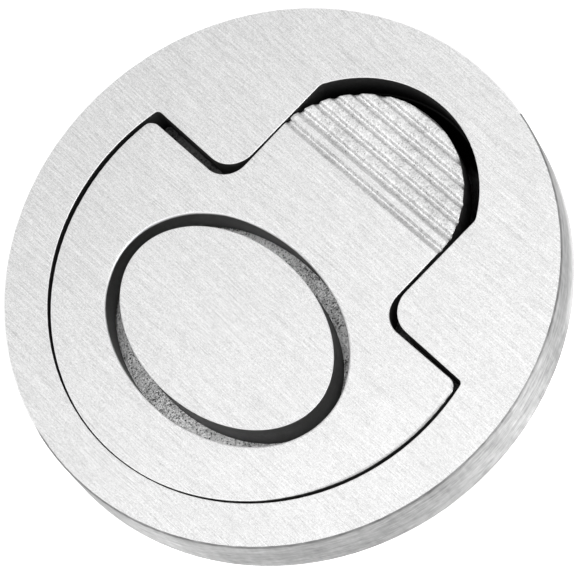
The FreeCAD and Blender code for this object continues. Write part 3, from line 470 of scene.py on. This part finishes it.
def rib_depth(x):
    """Depth of the thumb grip's surface below the face, in mm."""
    u = x - RIB_EDGE
    k = np.floor(u / RIB_PITCH)
    w = u - k * RIB_PITCH
    later = np.interp(w, [a for a, _ in GROOVE], [b for _, b in GROOVE])
    first = np.interp(u, [a for a, _ in FIRST], [b for _, b in FIRST])
    return np.where(u < RIB_PITCH, first, later)


def tab_edge_distance(x, y):
    """Distance inside the thumb tab's outline, in mm."""
    arc = TAB_R - np.hypot(x - TAB_X, y)
    side = TAB_HALF - np.abs(y)
    return np.minimum(arc, side)


def grain_field(x, y, scale, seed):
    out = np.empty(x.shape)
    flat_x, flat_y, flat = x.ravel(), y.ravel(), out.ravel()
    for i in range(flat.size):
        flat[i] = noise.noise(Vector((flat_x[i] * scale, flat_y[i] * scale, seed)))
    return out


def build_handle():
    ob = cad_copy("handle", "handle_casting")
    xs = np.arange(12.45, 24.4, 0.07)
    ys = np.arange(-12.76, 12.77, 0.115)
    gx, gy = np.meshgrid(xs, ys, indexing="ij")
    wander = np.interp(gy.ravel(), np.linspace(-13, 13, 27),
                       [0.035 * noise.noise(Vector((i * 0.45, 3.7, 1.0))) for i in range(27)]
                       ).reshape(gy.shape)
    wander = wander + 0.05 * grain_field(gx, gy, 2.1, 2.3)
    depth = rib_depth(gx + wander)
    # the ribs' ends roll over the tab's outline
    d = tab_edge_distance(gx, gy)
    roll = np.clip(1.0 - d / 0.40, 0.0, 1.4)
    started = np.clip((gx - 12.9) / 0.5, 0.0, 1.0)
    hollow = np.clip((depth - 0.12) / 0.2, 0.0, 1.0)
    depth = depth + (0.07 + 0.16 * hollow) * roll ** 2.2 * started
    # blasted grain, weaker on the first rib and in the brushed zone
    rough = np.clip((gx - (RIB_EDGE + 0.1)) / 0.4, 0, 1) * np.where(
        (gx > RIB_EDGE + 1.0) & (gx < RIB_EDGE + RIB_PITCH - 0.05), 0.25, 1.0)
    grain = (0.60 * grain_field(gx, gy, 2.6, 5.1) + 0.55 * grain_field(gx, gy, 4.4, 9.7))
    depth = depth + 0.040 * grain * rough + 0.008 * rough
    verts = np.stack([gx, gy, FACE_Z - depth], -1).reshape(-1, 3) * MM
    nx, ny = gx.shape
    idx = np.arange(nx * ny).reshape(nx, ny)
    faces = np.stack([idx[:-1, :-1], idx[:-1, 1:], idx[1:, 1:], idx[1:, :-1]], -1).reshape(-1, 4)
    faces = [tuple(int(v) for v in f) for f in faces]
    ring = ([int(idx[i, 0]) for i in range(nx)] + [int(idx[-1, j]) for j in range(1, ny)]
            + [int(idx[i, -1]) for i in range(nx - 2, -1, -1)]
            + [int(idx[0, j]) for j in range(ny - 2, 0, -1)])
    base = len(verts)
    top = verts[ring].copy()
    top[:, 2] = 7.6 * MM
    verts = np.concatenate([verts, top])
    m = len(ring)
    for i in range(m):
        j = (i + 1) % m
        faces.append((ring[i], ring[j], base + j, base + i))
    faces.append(tuple(base + i for i in range(m)))
    cutter = mesh_object("grip_cutter", verts, faces)
    bm = bmesh.new()
    bm.from_mesh(cutter.data)
    bmesh.ops.recalc_face_normals(bm, faces=bm.faces)
    bm.to_mesh(cutter.data)
    bm.free()
    boolean(ob, cutter, "DIFFERENCE")
    n = len(ob.data.vertices)
    co = np.zeros(n * 3, np.float32)
    ob.data.vertices.foreach_get("co", co)
    co = co.reshape(-1, 3) / MM
    x, y, z = co[:, 0].copy(), co[:, 1].copy(), co[:, 2].copy()
    # the ring's outer edge as dressed by hand: fuller beside the shoulders, and
    # with a wider rounding along the front right
    out = np.hypot(x, y)
    az = np.degrees(np.arctan2(y, x))
    edge = -1.97 * np.cos(np.radians(az)) + np.sqrt(24.93 ** 2 - (1.97 * np.sin(np.radians(az))) ** 2)
    inside = edge - out
    round_up = np.interp(az, [-100.0, -86.0, -72.0, -55.0, -48.0, -44.0], [0.0, 0.2, 0.9, 1.5, 1.5, 0.0])
    lip = (x < 14.0) & (inside > -0.02) & (inside < 0.16) & (z > FACE_Z - 0.16) & (round_up > 0)
    k = np.where(lip, round_up, 0.0)
    pull = inside * k
    z = np.where(lip, FACE_Z - (FACE_Z - z) * (1.0 + k), z)
    full = np.interp(np.abs(az), [76.0, 84.0, 92.0, 100.0, 108.0, 120.0, 132.0, 144.0, 156.0, 168.0],
                     [0.27, 0.25, 0.16, 0.05, -0.03, -0.05, -0.07, -0.07, -0.05, 0.0])
    full = full + np.interp(az, [-124.0, -114.0, -100.0, -92.0, -84.0], [0.0, 0.08, 0.08, 0.05, 0.0])
    full = full * np.clip((out - 20.5) / 3.0, 0.0, 1.0) * np.clip((4.5 - x) / 1.5, 0.0, 1.0)
    grow = (full - pull) / np.maximum(out, 1.0)
    x, y = x * (1.0 + grow), y * (1.0 + grow)
    # the finger hole's edge, dressed by hand as well
    hx = x + 8.54
    q = np.sqrt((hx / 11.46) ** 2 + (y / 15.95) ** 2)
    around = np.degrees(np.arctan2(y, hx)) % 360.0
    open_up = np.interp(around, [0, 15, 30, 45, 60, 75, 90, 105, 120, 180, 195, 210, 225, 240, 270,
                                 300, 315, 330, 345, 360],
                        [0.06, 0.08, 0.15, 0.26, 0.22, 0.07, -0.04, -0.12, 0.0, 0.03, 0.13, 0.06,
                         0.10, 0.07, 0.0, 0.06, 0.13, 0.08, 0.06, 0.06])
    open_up = open_up * np.clip((1.12 - q) / 0.08, 0.0, 1.0) / np.maximum(np.hypot(hx, y), 1.0)
    x, y = x + hx * open_up, y * (1.0 + open_up)
    # the casting sits slightly turned in its recess, as in the photo; its hub
    # stays square to the pin
    away = np.hypot(co[:, 0] - 11.0, co[:, 2] - 2.85)
    free = np.maximum(np.clip((co[:, 2] - 4.2) / 1.3, 0, 1), np.clip((away - 3.5) / 1.8, 0, 1))
    co[:, 0] = x - free * TURN * y
    co[:, 1] = y + free * np.interp(x, [-27.0, 3.2, 12.5, 24.0],
                                    [-30.2 * TURN, 0.0, 9.3 * TURN, 0.06])
    co[:, 2] = z
    ob.data.vertices.foreach_set("co", (co * MM).ravel())
    ob.data.update()
    harden(ob, 50.0)
    level_normals(ob)

    def choose(c, n):
        # walls get the darker copy of the cast skin: painted shade
        out = np.full(len(c), 1)
        out[n[:, 2] < -0.5] = 3
        # the thin roundings at the face get the bright edge steel, a painted highlight; along the ring's
        # front edge they keep the ring face with its painted shade
        out[(c[:, 2] > FACE_Z - 0.32) & (c[:, 0] < RIB_EDGE - 0.1) & (n[:, 2] > 0.1)] = 4
        out[(out == 4) & (c[:, 1] < -18.0) & (np.hypot(c[:, 0] + 1.97, c[:, 1]) > 24.0)] = 0
        out[(n[:, 2] > 0.97) & (c[:, 2] > FACE_Z - 0.06)] = 0
        along = c[:, 0] + TURN * c[:, 1]
        ribs = (along > RIB_EDGE - 0.05) & (c[:, 2] > FACE_Z - 0.75) & (n[:, 2] > 0.25)
        out[ribs] = 2
        first = ribs & (along > RIB_EDGE + 1.0) & (along < RIB_EDGE + RIB_PITCH)
        out[first] = 0
        return out

    paint(ob, [RING_FACE, SHADED_WALL, RIBS, CAST, EDGE_HIGHLIGHT], choose)
    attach(ob, "lift_handle")
    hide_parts("handle")
    return ob


# --------------------------------------------------------------------- body
def build_body():
    ob = bpy.data.objects.new("body_casting", nodes["body"].data.copy())
    scene.collection.objects.link(ob)

    def choose(c, n):
        r = np.hypot(c[:, 0], c[:, 1])
        # walls get the darker copy of the cast skin: painted shade
        out = np.full(len(c), 3)
        out[n[:, 2] < -0.5] = 2
        out[c[:, 2] < FACE_Z - 4.6] = 2
        # thumb scoop: its inner side is swept about the hinge axis
        reach = np.hypot(c[:, 0] - 11.0, c[:, 2] - 2.85)
        inner = 0.09 + np.sqrt(np.clip(14.65 ** 2 - c[:, 1] ** 2, 0.0, None)) + 0.7
        out[(c[:, 0] > 11.0) & (reach < inner) & (np.abs(c[:, 1]) < 12.9)
            & (c[:, 2] < FACE_Z - 0.2)] = 3
        # recess floor
        out[(np.abs(c[:, 2] - (FACE_Z - 4.5)) < 0.02) & (n[:, 2] > 0.9) & (c[:, 0] < 12.0)] = 4
        # the thin roundings at the face get the bright edge steel: painted highlight
        out[(n[:, 2] > 0.3) & (c[:, 2] > FACE_Z - 0.17)] = 5
        out[(n[:, 2] > 0.97) & (c[:, 2] > FACE_Z - 0.06)] = 0
        out[(r > 31.4) & (c[:, 2] < FACE_Z - 0.001) & (c[:, 2] > 0.001)] = 1
        # the rim's top rounding gets the bright edge steel on the far side only: a painted highlight
        # there, while the near side keeps the rim's painted shade
        out[(r > 31.4) & (n[:, 2] > 0.02) & (c[:, 2] < FACE_Z - 0.001) & (c[:, 2] > 3.0)
            & (c[:, 1] > -0.25 * c[:, 0])] = 5
        return out

    paint(ob, [FACE, RIM, CAST, SHADED_WALL, FLOOR, EDGE_HIGHLIGHT], choose)
    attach(ob, "case")
    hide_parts("body")
    return ob


# ------------------------------------------------------------ studs, spring
def build_studs():
    """Four M4 studs with real threads, inside the CAD's plain cylinders."""
    tip, top, crest, depth, pitch = -16.5, -4.0, 1.99, 0.42, 0.7
    profile = [(-0.0625, 0.0), (0.0625, 0.0), (0.375, 1.0), (0.625, 1.0)]
    turns = int((top - tip) / pitch) + 3
    columns = 44
    bm = bmesh.new()
    for sx in (-13.5, 13.5):
        for sy in (-19.0, 19.0):
            rows = []
            for k in range(turns * len(profile)):
                turn, step = divmod(k, len(profile))
                frac, cut = profile[step]
                row = []
                for j in range(columns + 1):
                    a = 2 * math.pi * j / columns
                    z = tip + pitch * (turn - 2 + frac + j / columns)
                    # the thread runs out before the boss, and the tip is chamfered
                    fade = min(max((top - 0.55 - z) / 0.5, 0.0), 1.0)
                    r = crest - depth * cut * fade
                    z = min(max(z, tip), top)
                    r = min(r, 1.56 + 1.05 * (z - tip))
                    row.append(bm.verts.new(((sx + r * math.cos(a)) * MM,
                                             (sy + r * math.sin(a)) * MM, z * MM)))
                rows.append(row)
            for lower, upper in zip(rows, rows[1:]):
                for j in range(columns):
                    bm.faces.new((lower[j], lower[j + 1], upper[j + 1], upper[j]))
            # end disc, neck and the plain part that sits in the boss
            for z, r0, r1, flip in ((tip, 0.0, 1.56, True), (top, 1.49, crest, False)):
                for j in range(columns):
                    a0, a1 = 2 * math.pi * j / columns, 2 * math.pi * (j + 1) / columns
                    ring = [(r0, a0), (r1, a0), (r1, a1), (r0, a1)]
                    pts = [bm.verts.new(((sx + r * math.cos(a)) * MM,
                                         (sy + r * math.sin(a)) * MM, z * MM)) for r, a in ring]
                    bm.faces.new(pts[::-1] if flip else pts)
            for j in range(columns):
                a0, a1 = 2 * math.pi * j / columns, 2 * math.pi * (j + 1) / columns
                pts = [bm.verts.new(((sx + 1.49 * math.cos(a)) * MM, (sy + 1.49 * math.sin(a)) * MM,
                                     z * MM)) for a, z in ((a0, top), (a1, top), (a1, 0.3), (a0, 0.3))]
                bm.faces.new(pts)
    bmesh.ops.remove_doubles(bm, verts=bm.verts, dist=1e-7)
    bmesh.ops.dissolve_degenerate(bm, edges=bm.edges, dist=1e-7)
    bmesh.ops.recalc_face_normals(bm, faces=bm.faces)
    me = bpy.data.meshes.new("threaded_studs")
    bm.to_mesh(me)
    bm.free()
    ob = bpy.data.objects.new("threaded_studs", me)
    scene.collection.objects.link(ob)
    me.materials.append(STEEL)
    me.shade_smooth()
    me.set_sharp_from_angle(angle=math.radians(28))
    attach(ob, "case")
    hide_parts("mounting_studs")
    return ob


def build_spring():
    """The return spring as in the CAD, its coil between its fixed leg and the tab's leg."""
    ob = cad_copy("return_spring", "wound_spring")
    ob.data.materials.clear()
    ob.data.materials.append(WIRE)
    ob.data.shade_smooth()
    ob.data.set_sharp_from_angle(angle=math.radians(50))
    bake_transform(ob)
    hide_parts("return_spring")
    return ob


body = build_body()
handle = build_handle()
studs = build_studs()
spring = build_spring()
for node, mat in (("hinge_pin", PIN), ("pin_lock_screw", STEEL),
                  ("seal_ring", RUBBER), ("rest_bumpers", RUBBER)):
    nodes[node].data.materials.clear()
    nodes[node].data.materials.append(mat)

# -------------------------------------------------------------------- stage
floor_z = -16.5 * MM
bm = bmesh.new()
bmesh.ops.create_grid(bm, x_segments=1, y_segments=1, size=3.0)
me = bpy.data.meshes.new("floor")
bm.to_mesh(me)
bm.free()
floor = bpy.data.objects.new("floor", me)
floor.location.z = floor_z
scene.collection.objects.link(floor)
mat, g = new_material("pale_floor")
obj = g.add("ShaderNodeTexCoord").outputs["Object"]
soft = g.noise(g.vmul(obj, (3.0, 3.0, 3.0)), 2.0)
principled(g, {"Base Color": g.grey(g.math("ADD", 0.90, g.math("MULTIPLY", soft, 0.02))),
               "Roughness": 0.85, "Specular IOR Level": 0.2,
               "Emission Color": (1.0, 1.0, 1.0, 1.0), "Emission Strength": 0.6})
floor.data.materials.append(mat)

# soft studio surroundings: bright overhead, dimmer towards the horizon
world = bpy.data.worlds.new("studio")
scene.world = world
world.use_nodes = True
g = Graph(world.node_tree)
way = g.add("ShaderNodeTexCoord").outputs["Generated"]
parts = g.add("ShaderNodeSeparateXYZ", {0: way})
behind = g.add("ShaderNodeVectorMath", {0: way, 1: (0.45, 0.89, 0.0)},
               operation="DOT_PRODUCT").outputs["Value"]
horizon = g.ramp(behind, -0.1, 0.8, 0.30, 0.95, smooth=True)
up = g.mix(g.ramp(parts.outputs["Z"], 0.05, 0.80, smooth=True), horizon, 1.0)
back = g.add("ShaderNodeBackground", {"Color": g.grey(up), "Strength": 0.90})
g.add("ShaderNodeOutputWorld", {"Surface": back.outputs[0]})


def softbox(name, direction, distance, size, power, target=(0.0, 0.0, 0.0)):
    data = bpy.data.lights.new(name, "AREA")
    data.shape = "RECTANGLE"
    data.size, data.size_y = size
    data.energy = power
    ob = bpy.data.objects.new(name, data)
    d = Vector(direction).normalized()
    ob.location = Vector(target) + d * distance
    ob.rotation_mode = "QUATERNION"
    ob.rotation_quaternion = d.to_track_quat("Z", "Y")
    scene.collection.objects.link(ob)
    return ob


softbox("key_high", (-0.10, 0.05, 0.95), 0.55, (0.40, 0.30), 0.29)
softbox("key_back", (0.02, 0.25, 0.90), 0.55, (0.40, 0.30), 0.27)
softbox("side", (0.46, -0.89, 0.30), 0.60, (0.18, 0.30), 1.02)
softbox("front", (0.08, -0.95, 0.30), 0.60, (0.16, 0.30), 0.50)
softbox("left", (-1.00, 0.03, 0.30), 0.60, (0.16, 0.30), 0.48)

# ------------------------------------------------------------------- camera
cam_data = bpy.data.cameras.new("camera")
cam_data.lens = 324.29
cam_data.sensor_width = 36.0
cam_data.clip_start, cam_data.clip_end = 0.01, 10.0
cam = bpy.data.objects.new("camera", cam_data)
right = Vector((0.6961, -0.6683, -0.2622)).normalized()
back_dir = Vector((-0.0790, -0.4343, 0.8973))
back_dir = (back_dir - right * back_dir.dot(right)).normalized()
up_dir = back_dir.cross(right)
m = Matrix((right, up_dir, back_dir)).transposed().to_4x4()
m.translation = Vector((-0.045425, -0.248625, 0.515661))
cam.matrix_world = m
scene.collection.objects.link(cam)
scene.camera = cam

scene.view_settings.view_transform = "Standard"
scene.view_settings.look = "None"
scene.view_settings.exposure = 0.0
scene.view_settings.gamma = 1.0
